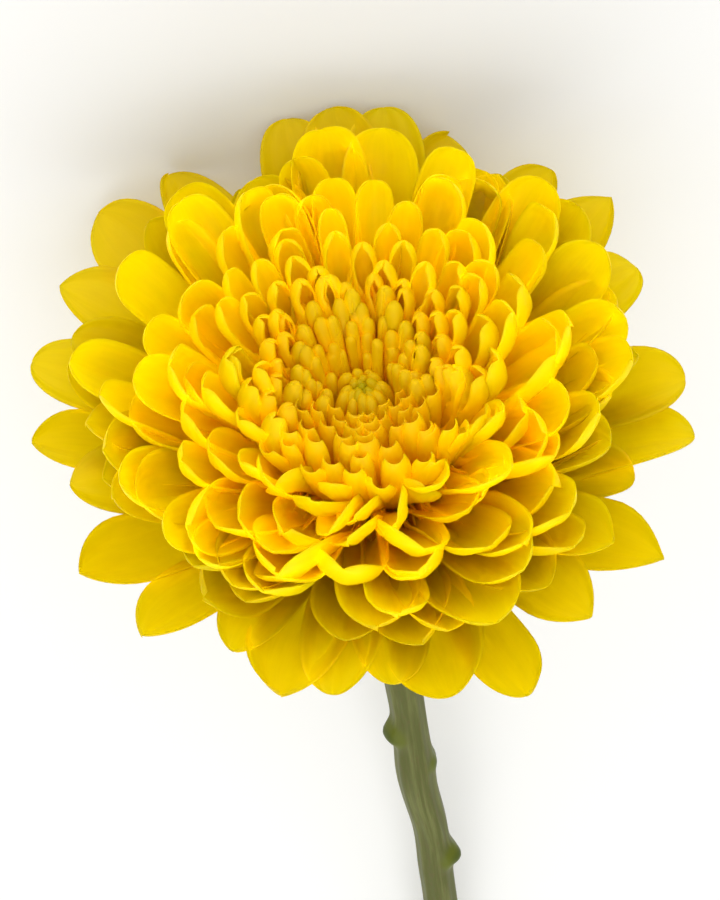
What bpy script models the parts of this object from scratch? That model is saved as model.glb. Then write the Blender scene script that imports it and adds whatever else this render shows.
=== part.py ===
"""A disbud chrysanthemum, cut and laid down: a large yellow bloom, its green eye, its cup of bracts, its stem.

Everything is modelled upright first: +Z out of the bloom's face, +Y to its far side, with the origin where
the florets grow together. An empty called "flower" then lays the whole thing on the surface z = 0.
"""
import math
import random

import bmesh
import bpy
import numpy as np
from mathutils import Matrix, Vector

MM = 0.001

# driving dimensions, in millimetres and degrees
BLOOM_RADIUS = 58.5          # from the eye to the tip of an outer floret
FLORETS = 230                # counted from the rim inwards
EYE_SHARE = 0.10             # the innermost share of them belongs to the green eye
QUILL_RANK = 0.30            # inside this rank the florets are closed quills
THINNED_RANK = 0.52          # inside this rank every second floret is left out, and the rest are fatter
THINNED_FATTER = 1.30
BLADE_THICK = 1.15           # at the middle of a blade, which is sharp at its edges
EYE_FLORETS = 26
EYE_TIP_RADIUS = 4.1
EYE_BELLY_RADIUS = 5.1
EYE_TOP = 23.0
EYE_FOOT = 9.5
CUP_RADIUS = 10.4            # the cup of bracts under the bloom
CUP_TOP = -8.9
CUP_BOTTOM = -15.2
BRACT_ROWS = ((11, -9.9, 12.6), (12, -11.4, 11.0), (10, -13.2, 8.4))   # bracts, height and reach of a row's tips
STEM_TOP_RADIUS = 3.45
STEM_RADIUS = 3.05
NECK_BEND = 10.0             # the stem leaves the bloom's axis by this much, towards the side that is on top
END_SLANT = 0.7              # the cut end leans back by this much of its width
# where leaves were stripped: place along the stem, side in degrees, rise and length
SCARS = ((62.0, 95.0, 2.5, 5.2), (73.0, -80.0, 1.2, 3.4), (96.0, -88.0, 2.3, 6.0), (140.0, 60.0, 2.1, 5.4))
GAP = 0.3                    # between pieces that touch

# how it lies
AXIS_RISE = 20.5             # the bloom's axis looks up by this much
CENTRE_HEIGHT = 44.6         # from the surface to the origin of the bloom
CENTRE_BACK = -79.04         # puts the middle of the whole flower over the world's origin
CENTRE_SIDE = 0.87
PRESS = 0.45                 # what touches the surface is flattened by this much

# the shape of a floret by its rank, from 0 at the centre to 1 at the rim
HEAD = {
    "rank":    [0.00, 0.05, 0.10, 0.15, 0.25, 0.36, 0.46, 0.55, 0.64, 0.72, 0.80, 0.87, 0.94, 1.00],
    "reach":   [0.01, 0.05, 0.115, 0.147, 0.205, 0.277, 0.354, 0.44, 0.55, 0.668, 0.795, 0.897, 0.974, 1.0],
    "height":  [22.0, 22.8, 23.8, 25.2, 27.4, 28.8, 29.2, 29.0, 28.0, 26.0, 22.5, 18.5, 13.5, 7.0],
    "lift":    [0.0,  0.0,  0.0,  0.0,  0.4,  0.8,  1.2,  1.8,  2.8,  4.0,  5.4,  6.6,  7.6,  8.0],
    "rootAim": [0,    6,    12,   18,   28,   38,   47,   55,   63,   70,   77,   84,   92,   98],
    "tipAim":  [-14,  -10,  -4,   1,    7,    14,   22,   31,   42,   52,   61,   69,   78,   90],
    "span":    [1.0,  1.3,  1.6,  2.0,  2.7,  3.6,  4.8,  6.4,  8.6,  10.8, 13.0, 15.0, 16.5, 17.0],
    "curl":    [170,  170,  170,  168,  150,  125,  104,  86,   72,   62,   54,   46,   40,   34],
    "hood":    [0.5,  0.5,  0.5,  0.52, 0.6,  0.7,  0.8,  0.86, 0.84, 0.76, 0.66, 0.54, 0.40, 0.25],
}
# the dense heart that the florets stand out of, as radius and height from its underside round to its top
HEART = ((0.0, -8.4), (9.4, -8.4), (12.0, -7.2), (20.0, -3.2), (28.0, 1.4), (32.5, 5.0), (33.0, 9.0),
         (30.0, 13.5), (25.0, 17.0), (18.0, 18.0), (11.0, 16.5), (6.5, 13.0), (0.0, 12.0))
HEART_LIFT = 3.0             # how far its far side is raised, and its near side lowered

GOLDEN_ANGLE = math.radians(137.508)
UP = Vector((0.0, -math.cos(math.radians(AXIS_RISE)), math.sin(math.radians(AXIS_RISE))))


def keyed(name, rank):
    return float(np.interp(rank, HEAD["rank"], HEAD[name]))


def make_object(name, vertices, faces, parent=None):
    """An object from points in millimetres."""
    mesh = bpy.data.meshes.new(name)
    mesh.from_pydata([tuple(c * MM for c in v) for v in vertices], [], faces)
    mesh.update()
    obj = bpy.data.objects.new(name, mesh)
    bpy.context.scene.collection.objects.link(obj)
    obj.parent = parent
    face_outwards(obj)
    return obj


def face_outwards(obj):
    work = bmesh.new()
    work.from_mesh(obj.data)
    bmesh.ops.recalc_face_normals(work, faces=work.faces)
    if work.calc_volume(signed=True) < 0:
        bmesh.ops.reverse_faces(work, faces=work.faces)
    work.to_mesh(obj.data)
    work.free()


def turned(name, profile, sides, parent, shape=lambda x, y, z: (x, y, z)):
    """A closed solid of revolution; the profile runs from the axis round and back to the axis."""
    vertices, rings = [], []
    for radius, height in profile:
        if radius == 0.0:
            rings.append([len(vertices)])
            vertices.append(shape(0.0, 0.0, height))
            continue
        rings.append(range(len(vertices), len(vertices) + sides))
        for k in range(sides):
            angle = 2 * math.pi * k / sides
            vertices.append(shape(radius * math.cos(angle), radius * math.sin(angle), height))
    faces = []
    for low, high in zip(rings, rings[1:]):
        for k in range(sides):
            near = low[k % len(low)], low[(k + 1) % len(low)]
            far = high[(k + 1) % len(high)], high[k % len(high)]
            faces.append(list(dict.fromkeys(near + far)))
    return make_object(name, vertices, faces, parent)


def floret_line(root, root_aim, tip, tip_aim, stations):
    """Points and tangents on the curve from root to tip, as (radius, height), at shares of its length."""
    a, b = math.radians(root_aim), math.radians(tip_aim)
    span = math.dist(root, tip)
    p0, p3 = np.array(root), np.array(tip)
    p1 = p0 + 0.38 * span * np.array([math.sin(a), math.cos(a)])
    p2 = p3 - 0.36 * span * np.array([math.sin(b), math.cos(b)])
    t = np.linspace(0, 1, 41)[:, None]
    fine = (1 - t) ** 3 * p0 + 3 * t * (1 - t) ** 2 * p1 + 3 * t * t * (1 - t) * p2 + t ** 3 * p3
    length = np.concatenate([[0], np.cumsum(np.linalg.norm(np.diff(fine, axis=0), axis=1))])
    line = []
    for share in stations:
        here = share * length[-1]
        point = np.array([np.interp(here, length, fine[:, i]) for i in (0, 1)])
        slope = np.array([np.interp(here, length, np.gradient(fine[:, i], length)) for i in (0, 1)])
        line.append((point, slope / np.linalg.norm(slope)))
    return line


class Floret:
    """One floret of the head: its place, and the draw that makes it differ from its neighbours."""

    def __init__(self, index, draw):
        self.rank = 1 - (index + 0.5) / FLORETS
        self.azimuth = index * GOLDEN_ANGLE + draw.gauss(0, 0.05)
        self.reach = keyed("reach", self.rank) * BLOOM_RADIUS * (1 + draw.gauss(0, 0.022))
        self.height = keyed("height", self.rank) + draw.gauss(0, 0.7)
        self.height += keyed("lift", self.rank) * math.sin(self.azimuth)
        self.span = keyed("span", self.rank) * (1 + draw.gauss(0, 0.06))
        self.curl = math.radians(keyed("curl", self.rank) * (1 + draw.gauss(0, 0.07)))
        self.tip_aim = keyed("tipAim", self.rank) + draw.gauss(0, 4)
        self.hood = keyed("hood", self.rank) * (1 + draw.gauss(0, 0.18))
        self.twist = draw.gauss(0, 0.10)

    def at(self, radius, height, side):
        """A point of the bloom from its place in the floret's own plane and beside it."""
        c, s = math.cos(self.azimuth), math.sin(self.azimuth)
        return radius * c - side * s, radius * s + side * c, height

    def root(self):
        return 0.9 * (1 + 8 * math.sqrt(self.rank)), -7 * self.rank ** 2


def blade(floret, thick):
    """An open floret: a boat-shaped blade of four-point sections, in triangles alike on both faces."""
    stations = (0.05, 0.42, 0.74, 0.93, 1.0)
    widths = (0.28, 0.64, 1.0, 0.82, 0.26)
    line = floret_line(floret.root(), keyed("rootAim", floret.rank), (floret.reach, floret.height),
                       floret.tip_aim, stations)
    half = floret.span / 2
    fullest = math.sin(min(floret.curl, math.pi / 2))
    hood = floret.hood * half / fullest * (1 - math.cos(floret.curl))
    vertices = []
    for k, ((point, slope), width) in enumerate(zip(line, widths)):
        inward = np.array([-slope[1], slope[0]])
        turn = floret.twist * k / (len(widths) - 1)
        edge = half * width
        rise = edge / fullest * (1 - math.cos(floret.curl))
        lifted = hood * (0.0, 0.0, 0.0, 0.45, 1.0)[k]
        body = thick if k < len(widths) - 1 else thick * 0.8
        for side, up in ((-edge, rise), (0.0, body / 2), (edge, rise), (0.0, -body / 2)):
            across = side * math.cos(turn) - up * math.sin(turn)
            above = side * math.sin(turn) + up * math.cos(turn) + lifted
            radius, height = point + above * inward
            vertices.append(floret.at(radius, height, across))
    faces = [(0, 1, 3), (1, 2, 3)]
    for k in range(len(widths) - 1):
        left, inner, right, outer = range(4 * k, 4 * k + 4)
        left_2, inner_2, right_2, outer_2 = range(4 * k + 4, 4 * k + 8)
        for edge, edge_2 in ((left, left_2), (right, right_2)):
            for middle, middle_2 in ((inner, inner_2), (outer, outer_2)):
                faces += [(edge, middle, middle_2), (edge, middle_2, edge_2)]
    last = 4 * (len(widths) - 1)
    faces += [(last, last + 1, last + 3), (last + 1, last + 2, last + 3)]
    return vertices, faces


def quill(floret, radius, root, root_aim):
    """A closed floret: a four-sided spindle round its line."""
    stations = (0.25, 0.70, 0.93, 1.0)
    widths = (0.75, 1.0, 0.85, 0.3)
    line = floret_line(root, root_aim, (floret.reach, floret.height), floret.tip_aim, stations)
    vertices, faces = [], []
    for (point, slope), width in zip(line, widths):
        inward = np.array([-slope[1], slope[0]])
        for k in range(4):
            angle = math.pi / 4 + k * math.pi / 2
            out, height = point + radius * width * math.sin(angle) * inward
            vertices.append(floret.at(out, height, radius * width * math.cos(angle)))
    for k in range(len(widths) - 1):
        for i in range(4):
            a, b = 4 * k + i, 4 * k + (i + 1) % 4
            faces += [(a, b, b + 4), (a, b + 4, a + 4)]
    last = 4 * (len(widths) - 1)
    faces += [(0, 1, 2), (0, 2, 3), (last, last + 2, last + 1), (last, last + 3, last + 2)]
    return vertices, faces


def height_above_surface(points):
    return CENTRE_HEIGHT + min(Vector(p).dot(UP) for p in points)


def clear_of_surface(floret, make):
    """The floret's mesh, its tip drawn in until it only presses lightly on what the flower lies on."""
    vertices, faces = make()
    sunk = -PRESS - height_above_surface(vertices)
    while sunk > 0:
        floret.reach += (sunk + 0.02) * UP.y * math.sin(floret.azimuth)
        floret.height += (sunk + 0.02) * UP.z
        vertices, faces = make()
        sunk = -PRESS - height_above_surface(vertices)
    return vertices, faces


def fused(name, body, parts):
    """One solid of a body and the parts that grow from it."""
    group = bpy.data.collections.new(name + "_parts")
    bpy.context.scene.collection.children.link(group)
    for part in parts:
        bpy.context.scene.collection.objects.unlink(part)
        group.objects.link(part)
    join = body.modifiers.new("join", "BOOLEAN")
    join.operation = "UNION"
    join.operand_type = "COLLECTION"
    join.collection = group
    join.solver = "MANIFOLD"
    apply_modifiers(body)
    for part in parts:
        bpy.data.objects.remove(part)
    bpy.data.collections.remove(group)
    keep_largest_piece(body)
    body.name = name
    return body


def apply_modifiers(obj):
    bpy.context.view_layer.update()
    graph = bpy.context.evaluated_depsgraph_get()
    obj.data = bpy.data.meshes.new_from_object(obj.evaluated_get(graph))
    obj.modifiers.clear()


def cut_away(obj, cutter):
    cut = obj.modifiers.new("cut", "BOOLEAN")
    cut.operation = "DIFFERENCE"
    cut.object = cutter
    cut.solver = "MANIFOLD"
    apply_modifiers(obj)
    keep_largest_piece(obj)


def keep_largest_piece(obj):
    """Drops sealed hollows and loose scraps that a join or a cut leaves."""
    work = bmesh.new()
    work.from_mesh(obj.data)
    work.verts.ensure_lookup_table()
    seen, pieces = set(), []
    for start in work.verts:
        if start.index in seen:
            continue
        piece, queue = [], [start]
        seen.add(start.index)
        while queue:
            vertex = queue.pop()
            piece.append(vertex)
            for edge in vertex.link_edges:
                other = edge.other_vert(vertex)
                if other.index not in seen:
                    seen.add(other.index)
                    queue.append(other)
        pieces.append(piece)
    pieces.sort(key=len)
    bmesh.ops.delete(work, geom=[v for piece in pieces[:-1] for v in piece], context="VERTS")
    work.to_mesh(obj.data)
    work.free()


def helper(obj):
    obj.hide_render = True
    obj.display_type = "WIRE"
    return obj


def make_eye(flower):
    """The green eye: closed florets leaning together over a small heart."""
    draw = random.Random(5)
    profile = ((0, EYE_FOOT), (2.2, EYE_FOOT), (4.2, 15.0), (4.0, 17.2), (2.4, 18.6), (0, 19.0))
    heart = turned("eye", profile, 14, flower)
    parts = []
    for i in range(EYE_FLORETS):
        share = math.sqrt((i + 0.5) / EYE_FLORETS)
        floret = Floret(FLORETS - 1, draw)
        floret.azimuth = i * GOLDEN_ANGLE + draw.gauss(0, 0.06)
        floret.reach = EYE_TIP_RADIUS * share * 0.92
        floret.height = EYE_TOP - 1.6 * (1 - share) + draw.gauss(0, 0.35)
        floret.tip_aim = -34 * share
        radius = 0.62 + 0.30 * share
        root = ((EYE_BELLY_RADIUS - radius) * share * 0.80, 13.6)
        parts.append(make_object("eye_floret", *quill(floret, radius, root, 24 * share), flower))
    return fused("eye", heart, parts)


def make_bloom(flower):
    """The yellow florets on their heart, with a well for the eye."""
    draw = random.Random(7)

    widest = max(radius for radius, _ in HEART)

    def follow_lift(x, y, z):
        return x, y, z + HEART_LIFT * math.sqrt(math.hypot(x, y) / widest) * y / widest

    heart = turned("bloom", HEART, 28, flower, follow_lift)
    parts = []
    for index in range(int(FLORETS * (1 - EYE_SHARE))):
        floret = Floret(index, draw)
        if floret.rank < THINNED_RANK:
            if index % 2:
                continue
            floret.span *= THINNED_FATTER
        if floret.rank < QUILL_RANK:
            root = (floret.root()[0] + 0.8, 6.0)
            vertices, faces = quill(floret, floret.span / 2, root, keyed("rootAim", floret.rank) * 0.6)
        else:
            vertices, faces = clear_of_surface(floret, lambda: blade(floret, BLADE_THICK))
        parts.append(make_object("floret", vertices, faces, flower))
    bloom = fused("bloom", heart, parts)
    profile = ((0, EYE_FOOT - GAP), (2.2 + GAP, EYE_FOOT - GAP), (5.3, 14.0), (5.75, 17.0), (5.6, 24.0),
               (5.6, 40.0), (0, 40.0))
    well = helper(turned("eye_well", profile, 22, flower))
    cut_away(bloom, well)
    bpy.data.objects.remove(well)
    return bloom


def make_involucre(flower):
    """The cup under the bloom, with its overlapping rows of bracts."""
    profile = ((0, CUP_BOTTOM), (3.7, CUP_BOTTOM), (5.6, CUP_BOTTOM + 1.5), (8.4, CUP_BOTTOM + 3.6),
               (CUP_RADIUS, CUP_TOP - 1.3), (CUP_RADIUS, CUP_TOP), (0, CUP_TOP))
    cup = turned("involucre", profile, 20, flower)
    parts = []
    for row, (count, height, tip_radius) in enumerate(BRACT_ROWS):
        for k in range(count):
            angle = 2 * math.pi * (k + 0.5 * row) / count
            c, s = math.cos(angle), math.sin(angle)
            half = 0.80 * math.pi * (tip_radius - 2.5) / count
            outline = ((tip_radius - 5.0, height - 1.9, half * 0.8), (tip_radius - 1.9, height - 0.95, half),
                       (tip_radius, height, 0.35))
            vertices = []
            for radius, z, side in outline:
                for across, up in ((-side, 0.10), (0.0, 0.35), (side, 0.10), (0.0, -0.55)):
                    vertices.append((radius * c - across * s, radius * s + across * c, z + up))
            faces = [(0, 1, 3), (1, 2, 3), (8, 11, 9), (9, 11, 10)]
            for ring in (0, 4):
                for i in range(4):
                    a, b = ring + i, ring + (i + 1) % 4
                    faces += [(a, b, b + 4), (a, b + 4, a + 4)]
            parts.append(make_object("bract", vertices, faces, flower))
    return fused("involucre", cup, parts)


def stem_centre(length):
    """The stem's middle line, by the length below the cup: a bend at the neck, then two slow waves."""
    bend = math.radians(NECK_BEND)
    along = length - 9.0 * (1 - math.exp(-length / 9.0))
    side = 0.7 * math.sin(length / 26.0) + 0.5 * math.sin(length / 11.0 + 1.0) - 0.42
    back = -math.sin(bend) * along + 0.5 * math.sin(length / 31.0)
    down = CUP_BOTTOM - GAP - length * math.cos(bend)
    return Vector((side, back, down))


def stem_length():
    """How far down the lower edge of the cut end presses on the surface."""
    length = 100.0
    while height_above_surface([stem_centre(length) - STEM_RADIUS * UP]) > -PRESS:
        length += 0.1
    return length


def make_stem(flower):
    """The stem, with a scar left by each leaf that was stripped."""
    sides, rings = 12, 26
    whole = stem_length()
    vertices, faces = [], []
    for ring in range(rings + 1):
        length = whole * ring / rings
        centre = stem_centre(length)
        along = (stem_centre(length + 0.5) - stem_centre(max(length - 0.5, 0.0))).normalized()
        if ring == 0:
            along = Vector((0, 0, -1))
        right = Vector((0, 1, 0)).cross(along).normalized()
        front = along.cross(right)
        radius = STEM_RADIUS + (STEM_TOP_RADIUS - STEM_RADIUS) * math.exp(-length / 22.0)
        for k in range(sides):
            angle = 2 * math.pi * k / sides
            out = radius * (math.cos(angle) * right + math.sin(angle) * front)
            slant = END_SLANT * (out.dot(UP) + radius) if ring == rings else 0.0
            vertices.append(centre + out - slant * along)
    for ring in range(rings):
        for k in range(sides):
            a, b = ring * sides + k, ring * sides + (k + 1) % sides
            faces.append((a, b, b + sides, a + sides))
    faces += [tuple(range(sides)), tuple(range(rings * sides, (rings + 1) * sides))]
    body = make_object("stem", vertices, faces, flower)
    parts = []
    for length, azimuth, rise, long in SCARS:
        out = Vector((math.sin(math.radians(azimuth)), -math.cos(math.radians(azimuth)), 0.0))
        along = (stem_centre(length + 1) - stem_centre(length - 1)).normalized()
        out = (out - out.dot(along) * along).normalized()
        across = along.cross(out)
        vertices, faces = [], []
        for share, size in ((-1.0, 0.25), (-0.45, 0.85), (0.15, 1.0), (0.65, 0.75), (1.0, 0.3)):
            middle = stem_centre(length) + share * long / 2 * along + (STEM_RADIUS - 1.0) * out
            for k in range(6):
                angle = 2 * math.pi * k / 6
                vertices.append(middle + size * (2.5 * math.cos(angle) * across
                                                 + (1.0 + rise * 0.55) * math.sin(angle) * out))
        for ring in range(4):
            for k in range(6):
                a, b = ring * 6 + k, ring * 6 + (k + 1) % 6
                faces.append((a, b, b + 6, a + 6))
        faces += [tuple(range(6)), tuple(range(24, 30))]
        parts.append(make_object("scar", vertices, faces, flower))
    return fused("stem", body, parts)


def give_material(obj, name, colour, roughness):
    material = bpy.data.materials.new(name)
    material.use_nodes = True
    shader = material.node_tree.nodes["Principled BSDF"]
    shader.inputs["Base Color"].default_value = (*colour, 1.0)
    shader.inputs["Roughness"].default_value = roughness
    shader.inputs["Metallic"].default_value = 0.0
    obj.data.materials.clear()
    obj.data.materials.append(material)


def main():
    for obj in list(bpy.data.objects):
        bpy.data.objects.remove(obj)
    flower = bpy.data.objects.new("flower", None)
    bpy.context.scene.collection.objects.link(flower)
    rise = math.radians(AXIS_RISE)
    up, back = math.sin(rise), math.cos(rise)
    laid_down = Matrix(((-1, 0, 0), (0, -up, -back), (0, -back, up)))
    flower.matrix_world = Matrix.Translation(
        Vector((CENTRE_SIDE, CENTRE_BACK, CENTRE_HEIGHT)) * MM) @ laid_down.to_4x4()

    bloom = make_bloom(flower)
    eye = make_eye(flower)
    involucre = make_involucre(flower)
    stem = make_stem(flower)

    bpy.ops.mesh.primitive_cube_add(size=0.5, location=(0, 0, -0.25))
    surface = helper(bpy.context.object)
    surface.name = "surface"
    for obj in (bloom, stem):
        cut_away(obj, surface)
    bpy.data.objects.remove(surface)

    give_material(bloom, "yellow_florets", (0.73, 0.46, 0.003), 0.45)
    give_material(eye, "green_florets", (0.42, 0.38, 0.01), 0.50)
    give_material(involucre, "bracts", (0.12, 0.16, 0.04), 0.60)
    give_material(stem, "stem_skin", (0.13, 0.14, 0.035), 0.55)
    for obj in (eye, involucre, stem):
        obj.data.shade_smooth()
        obj.data.set_sharp_from_angle(angle=math.radians(40))


main()
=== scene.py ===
# A disbud chrysanthemum, cut and laid on a pale floor: florets, green eye, bracts and stem round the fixed frame.
import math
import random

import bpy
import numpy as np
from mathutils import Matrix, Vector


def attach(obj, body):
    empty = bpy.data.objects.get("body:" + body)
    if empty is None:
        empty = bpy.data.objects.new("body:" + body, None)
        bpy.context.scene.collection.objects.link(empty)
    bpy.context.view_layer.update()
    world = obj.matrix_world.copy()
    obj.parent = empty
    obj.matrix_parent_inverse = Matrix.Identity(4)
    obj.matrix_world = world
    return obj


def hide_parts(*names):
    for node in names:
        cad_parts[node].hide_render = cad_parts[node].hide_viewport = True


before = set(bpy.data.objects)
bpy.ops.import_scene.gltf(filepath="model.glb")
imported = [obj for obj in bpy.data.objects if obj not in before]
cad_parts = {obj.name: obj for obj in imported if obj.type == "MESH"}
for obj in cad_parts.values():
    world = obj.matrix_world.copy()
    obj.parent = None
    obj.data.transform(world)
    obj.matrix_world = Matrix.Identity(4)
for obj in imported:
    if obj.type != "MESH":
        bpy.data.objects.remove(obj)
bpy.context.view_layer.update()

goldenAngle = math.radians(137.508)

# How the flower lies: the same place and turn as the solids, in millimetres and degrees.
lying = {
    "axisRise": 20.5, "height": 44.6, "back": -79.04, "side": 0.87,
    "press": 0.30,       # how far a floret may sink into the floor before it is drawn in
    "soft": 0.6,         # what is lower than this is flattened towards the floor
    "keeps": 0.1,        # and keeps this share of that height
}


def smooth(x):
    x = np.clip(x, 0, 1)
    return x * x * (3 - 2 * x)


def rising(x, start, long):
    # 0 before the start and 1 past the length; where the length is negative it falls from 1 to 0 at the start
    return float(smooth((x - start) / long))


def laidDown():
    rise = math.radians(lying["axisRise"])
    up, back = math.sin(rise), math.cos(rise)
    turn = Matrix(((-1, 0, 0), (0, -up, -back), (0, -back, up)))
    return turn, Vector((lying["side"], lying["back"], lying["height"]))


layTurn, layPlace = laidDown()
layRows = np.array(layTurn)


def toFloor(points):
    # points of the upright flower to the row frame, millimetres to metres
    return (points @ layRows.T + np.array(layPlace)) * 0.001


# The camera, in the upright flower's axes until it is turned to lie with it.
view = {
    "tilt": 30.0, "roll": 8.0, "distance": 0.9,        # degrees off the bloom's axis, degrees of roll, metres
    "photoWidth": 720, "photoHeight": 900, "bloomMm": 115.0, "bloomPixels": 662,
    "eyePixel": (362, 383), "eyeHeight": 22.5,
}


def cameraAxes():
    tilt = math.radians(view["tilt"])
    towards = Vector((0, -math.sin(tilt), math.cos(tilt)))
    roll = Matrix.Rotation(-math.radians(view["roll"]), 3, towards)
    up = roll @ Vector((0, math.cos(tilt), math.sin(tilt)))
    right = roll @ Vector((1, 0, 0))
    return [layTurn @ axis for axis in (right, up, towards)]


def linear(colour):
    # an sRGB hex value as linear red, green, blue and alpha
    parts = [int(colour[i:i + 2], 16) / 255 for i in (1, 3, 5)]
    return [c / 12.92 if c <= 0.04045 else ((c + 0.055) / 1.055) ** 2.4 for c in parts] + [1.0]


def addNode(tree, kind, settings=None, links=None):
    # one node with its settings; a link is a socket to take from, under the name or number of the input it feeds
    node = tree.nodes.new(kind)
    for key, value in (settings or {}).items():
        if isinstance(key, int) or key in node.inputs.keys():
            node.inputs[key].default_value = value
        else:
            setattr(node, key, value)
    for key, socket in (links or {}).items():
        tree.links.new(socket, node.inputs[key])
    return node


def newMaterial(name):
    material = bpy.data.materials.new(name)
    material.use_nodes = True
    material.node_tree.nodes.clear()
    return material, material.node_tree


# The shape of a floret by its rank, 0 at the centre and 1 at the rim; lengths in millimetres, angles in degrees.
head = {
    "rank":     [0.00, 0.04, 0.09, 0.13, 0.22, 0.32, 0.41, 0.49, 0.58, 0.67, 0.76, 0.84, 0.92, 1.00],
    "reach":    [0.6,  2.9,  6.6,  8.6,  12.2, 16.4, 20.8, 25.8, 32.2, 39.1, 46.5, 52.5, 57.0, 58.5],
    "height":   [22.0, 22.8, 23.8, 25.2, 27.4, 28.8, 29.2, 29.0, 28.0, 26.0, 22.5, 18.5, 13.5, 7.0],
    "farLift":  [0.0,  0.0,  0.0,  0.0,  0.4,  0.8,  1.2,  1.8,  2.8,  4.0,  5.4,  6.6,  7.6,  8.0],
    "nearLift": [0.0,  0.0,  0.0,  0.0,  0.6,  1.2,  2.4,  5.5,  6.0,  5.0,  4.0,  3.6,  3.6,  4.0],
    "nearPull": [0.0,  0.0,  0.0,  0.0,  0.0,  0.0,  0.0,  0.0,  0.02, 0.03, 0.04, 0.05, 0.06, 0.07],
    "lean":     [7.0,  7.0,  7.0,  7.0,  7.0,  6.5,  6.0,  4.5,  2.5,  1.0,  0.0,  0.0,  0.0,  0.0],
    "rootAim":  [0,    6,    12,   18,   28,   38,   47,   55,   63,   70,   77,   83,   89,   94],
    "tipAim":   [-14,  -12,  -6,   -1,   6,    13,   20,   30,   42,   52,   61,   69,   78,   90],
    "farAim":   [20,   20,   18,   16,   14,   12,   10,   8,    6,    4,    2,    0,    0,    0],
    "nearAim":  [14,   14,   16,   18,   24,   30,   28,   -32,  -20,  -8,   -3,   0,    0,    0],
    "span":     [1.6,  1.9,  2.3,  2.5,  3.0,  3.8,  4.8,  6.8,  9.2,  11.0, 12.6, 14.0, 15.0, 15.4],
    "curl":     [183,  183,  183,  183,  160,  132,  114,  100,  86,   70,   58,   50,   43,   36],
    "openAt":   [2.0,  2.0,  2.0,  2.0,  0.85, 0.80, 0.74, 0.62, 0.45, 0.32, 0.24, 0.20, 0.17, 0.14],
    "openLong": [0.1,  0.1,  0.1,  0.1,  0.06, 0.08, 0.11, 0.20, 0.30, 0.34, 0.34, 0.34, 0.34, 0.34],
    "reclose":  [1.0,  1.0,  1.0,  1.0,  1.0,  0.80, 0.35, 0.1,  0.0,  0.0,  0.0,  0.0,  0.0,  0.0],
    "tipLong":  [0.60, 0.65, 0.75, 0.85, 0.95, 0.92, 0.86, 0.76, 0.70, 0.68, 0.70, 0.74, 0.80, 0.85],
    "blunt":    [0.0,  0.0,  0.0,  0.0,  0.0,  0.04, 0.10, 0.20, 0.26, 0.28, 0.26, 0.22, 0.18, 0.15],
    "hood":     [0.50, 0.50, 0.50, 0.50, 0.56, 0.70, 0.80, 0.92, 1.02, 1.02, 0.92, 0.76, 0.56, 0.36],
    "thick":    [0.36, 0.36, 0.36, 0.38, 0.40, 0.42, 0.42, 0.42, 0.42, 0.42, 0.42, 0.42, 0.42, 0.42],
}
florets = {
    "count": 330, "eyeShare": 0.09,         # counted from the rim inwards; the innermost share belongs to the eye
    "younger": 0.12,                        # a far-side floret has the shape of one this much further in
    "heartSeed": 11, "rimSeed": 12, "rimFrom": 0.62,
    "rimRank": 0.98, "tipClear": 0.8,       # the height of a tip in the outline, and how far it clears the floor
    "behindTips": 0.87,                     # the other florets reach this share of the outline
    "swayTurn": 0.055,                      # a sway of 1 carries a tip this far round, in radians
    "foot": (0.9, 7.2, -8.8),               # radius at the centre, how much more at the rim, and height there
    "tipTurn": 89, "thinnest": 0.8,         # degrees that a tip rounds through; how much thinner its edge is
    # the rank where something starts and over how much of the ranks it grows, or fades where that is negative
    "outer": (0.45, 0.3), "pointed": (0.7, 0.2), "sameAge": (0.95, -0.3), "horned": (0.50, -0.06),
    "wildFrom": (0.42, 0.06), "wildTo": (0.80, -0.14),
    "nearly": (0.1, 0.6),                   # the same, where 0 is the flank of the head and 1 its near side
    # the pieces: name, ranks from and to, rows and columns of each floret's sheet
    "zones": (("rimFlorets", 0.76, 1.01, 30, 16), ("shoulderFlorets", 0.50, 0.76, 28, 16),
              ("innerFlorets", 0.26, 0.50, 26, 14), ("quillFlorets", 0.0, 0.26, 22, 14)),
}
# How much neighbours differ, as a standard deviation: in the heart, what the rim adds, and a draw of their own
# for the tousled florets of the near side.
spread = {
    "azimuth": (0.05, 0.06, 0), "reach": (0.022, 0.014, 0), "height": (0.6, 0.7, 0), "tipAim": (4, 3, 10),
    "span": (0.06, 0.05, 0), "curl": (0.04, 0, 0), "hood": (0.10, 0, 0), "tipLong": (0.08, 0, 0),
    "horn": (0.012, 0, 0), "point": (0.5, 0, 0), "tooth": (0.06, 0, 0.3), "ruffle": (0.4, 0.6, 1.1),
    "phase": (2, 0, 0), "sway": (0.7, 0.5, 1.0), "twist": (0.08, 0.12, 0.45),
}
# The near side: inside rank 0.5 open gutters with two horns, and past them cupped, tousled florets.
gutter = {"span": 4.2, "wider": 0.9, "curl": 78, "openAt": 0.45, "openLong": 0.3, "reclose": 0.0, "tipTurn": 54,
          "hood": 0.20, "tipLong": 0.9, "horn": 0.04}
cupped = {"wider": 1.12, "curl": 60, "hood": 0.95, "horn": 0.0, "point": 0.7, "blunt": 0.15, "reclose": 0.0,
          "openAt": 0.3, "openLong": 0.3}


def keyed(name, rank):
    return float(np.interp(rank, head["rank"], head[name]))


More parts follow.
